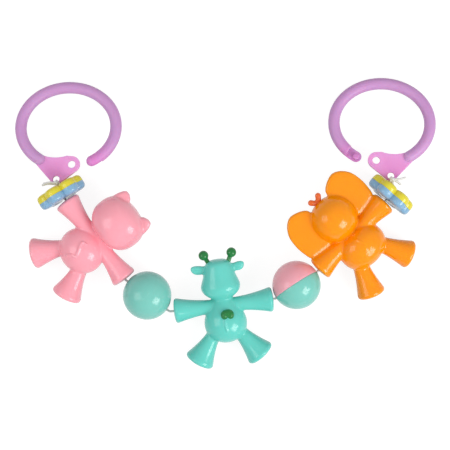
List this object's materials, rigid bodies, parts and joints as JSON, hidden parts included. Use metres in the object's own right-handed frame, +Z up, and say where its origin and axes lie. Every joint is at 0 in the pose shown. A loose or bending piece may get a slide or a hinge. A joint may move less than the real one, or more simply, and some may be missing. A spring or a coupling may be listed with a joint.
{
  "type": "pram chain toy",
  "caption": "Moulded animal figures, rattle balls and flower discs threaded on an elastic cord with a snap ring hook at each end, for hanging across a pram.",
  "frame": {"origin": "middle of the bounding box, on the surface that the toy lies on", "axes": "+X from the pig's end to the elephant's end, +Y towards the hooks, +Z up, out of the figures' backs"},
  "size_m": [0.2372, 0.1638, 0.0288],
  "materials": {
    "lilac": "glossy, slightly translucent moulding",
    "yellow": "glossy moulding",
    "blue": "glossy moulding",
    "mint": "glossy moulding",
    "pink": "glossy moulding",
    "pig_pink": "glossy moulding",
    "giraffe_mint": "glossy moulding",
    "dark_green": "glossy moulding",
    "orange": "glossy moulding",
    "dark_orange": "glossy moulding",
    "cord": "woven elastic cord",
    "pellet": "plain moulded pellet"
  },
  "bodies": {
    "giraffe": {"giraffe_front_shell": "giraffe_mint", "giraffe_back_shell": "giraffe_mint", "giraffe_horn_left": "dark_green", "giraffe_horn_right": "dark_green", "giraffe_tail_tuft": "dark_green"},
    "middle_cord": {"cord_giraffe": "cord"},
    "left_ball_cord": {"cord_ball_left": "cord"},
    "left_ball": {"ball_left_mint_half": "mint", "ball_left_pink_half": "pink"},
    "left_pellets": {"pellet_left_1": "pellet", "pellet_left_2": "pellet", "pellet_left_3": "pellet"},
    "pig_cord": {"cord_pig": "cord"},
    "pig": {"pig_front_shell": "pig_pink", "pig_back_shell": "pig_pink"},
    "left_flower_cord": {"cord_flower_left": "cord"},
    "left_flower": {"flower_left_yellow": "yellow", "flower_left_blue": "blue"},
    "left_knot": {"knot_left": "cord"},
    "left_hook": {"hook_left": "lilac"},
    "right_ball_cord": {"cord_ball_right": "cord"},
    "right_ball": {"ball_right_mint_half": "mint", "ball_right_pink_half": "pink"},
    "right_pellets": {"pellet_right_1": "pellet", "pellet_right_2": "pellet", "pellet_right_3": "pellet"},
    "elephant_cord": {"cord_elephant": "cord"},
    "elephant": {"elephant_front_shell": "orange", "elephant_back_shell": "orange", "elephant_hair": "dark_orange"},
    "right_flower_cord": {"cord_flower_right": "cord"},
    "right_flower": {"flower_right_yellow": "yellow", "flower_right_blue": "blue"},
    "right_knot": {"knot_right": "cord"},
    "right_hook": {"hook_right": "lilac"}
  },
  "joints": [
    {"name": "giraffe_on_cord", "type": "hinge", "parent": "giraffe", "child": "middle_cord", "pos_m": [-0.00085, -0.04626, 0.0136], "axis": [0.9928, 0.1201, 0], "continuous": true},
    {"name": "left_ball_bend", "type": "hinge", "parent": "middle_cord", "child": "left_ball_cord", "pos_m": [-0.03108, -0.04992, 0.0136], "axis": [0, 0, 1], "range_deg": [-5, 75]},
    {"name": "left_ball_spin", "type": "hinge", "parent": "left_ball_cord", "child": "left_ball", "pos_m": [-0.04366, -0.04095, 0.0136], "axis": [0.8141, -0.5807, 0], "continuous": true},
    {"name": "left_pellets_roll", "type": "hinge", "parent": "left_ball", "child": "left_pellets", "pos_m": [-0.04366, -0.04095, 0.0136], "axis": [0.8141, -0.5807, 0], "continuous": true},
    {"name": "pig_bend", "type": "hinge", "parent": "left_ball_cord", "child": "pig_cord", "pos_m": [-0.05534, -0.03261, 0.0136], "axis": [0, 0, -1], "range_deg": [-45, 12]},
    {"name": "pig_spin", "type": "hinge", "parent": "pig_cord", "child": "pig", "pos_m": [-0.07248, -0.00978, 0.0136], "axis": [0.6004, -0.7997, 0], "continuous": true},
    {"name": "left_flower_bend", "type": "hinge", "parent": "pig_cord", "child": "left_flower_cord", "pos_m": [-0.08941, 0.01277, 0.0136], "axis": [0, 0, 1], "range_deg": [-8, 18]},
    {"name": "left_flower_spin", "type": "hinge", "parent": "left_flower_cord", "child": "left_flower", "pos_m": [-0.09183, 0.0168, 0.0136], "axis": [0.515, -0.8572, 0], "continuous": true},
    {"name": "left_knot_bend", "type": "hinge", "parent": "left_flower_cord", "child": "left_knot", "pos_m": [-0.09335, 0.01933, 0.0136], "axis": [0, 0, -1], "range_deg": [-16, 5]},
    {"name": "left_hook_fold", "type": "hinge", "parent": "left_knot", "child": "left_hook", "pos_m": [-0.09401, 0.02179, 0.0136], "axis": [0.9659, 0.2588, 0], "range_deg": [-32, 25]},
    {"name": "right_ball_bend", "type": "hinge", "parent": "middle_cord", "child": "right_ball_cord", "pos_m": [0.02809, -0.04276, 0.0136], "axis": [0, 0, -1], "range_deg": [-4, 38]},
    {"name": "right_ball_spin", "type": "hinge", "parent": "right_ball_cord", "child": "right_ball", "pos_m": [0.03996, -0.03505, 0.0136], "axis": [0.8387, 0.5446, 0], "continuous": true},
    {"name": "right_pellets_roll", "type": "hinge", "parent": "right_ball", "child": "right_pellets", "pos_m": [0.03996, -0.03505, 0.0136], "axis": [0.8387, 0.5446, 0], "continuous": true},
    {"name": "elephant_bend", "type": "hinge", "parent": "right_ball_cord", "child": "elephant_cord", "pos_m": [0.05182, -0.02734, 0.0136], "axis": [0, 0, 1], "range_deg": [-32, 12]},
    {"name": "elephant_spin", "type": "hinge", "parent": "elephant_cord", "child": "elephant", "pos_m": [0.07086, -0.00757, 0.0136], "axis": [0.6934, 0.7206, 0], "continuous": true},
    {"name": "right_flower_bend", "type": "hinge", "parent": "elephant_cord", "child": "right_flower_cord", "pos_m": [0.08979, 0.01211, 0.0136], "axis": [0, 0, -1], "range_deg": [-7, 12]},
    {"name": "right_flower_spin", "type": "hinge", "parent": "right_flower_cord", "child": "right_flower", "pos_m": [0.09285, 0.01567, 0.0136], "axis": [0.6521, 0.7581, 0], "continuous": true},
    {"name": "right_knot_bend", "type": "hinge", "parent": "right_flower_cord", "child": "right_knot", "pos_m": [0.09478, 0.01791, 0.0136], "axis": [0, 0, 1], "range_deg": [-60, 0]},
    {"name": "right_hook_fold", "type": "hinge", "parent": "right_knot", "child": "right_hook", "pos_m": [0.09344, 0.0237, 0.0136], "axis": [0.9744, 0.225, 0], "range_deg": [-17, 25]}
  ]
}
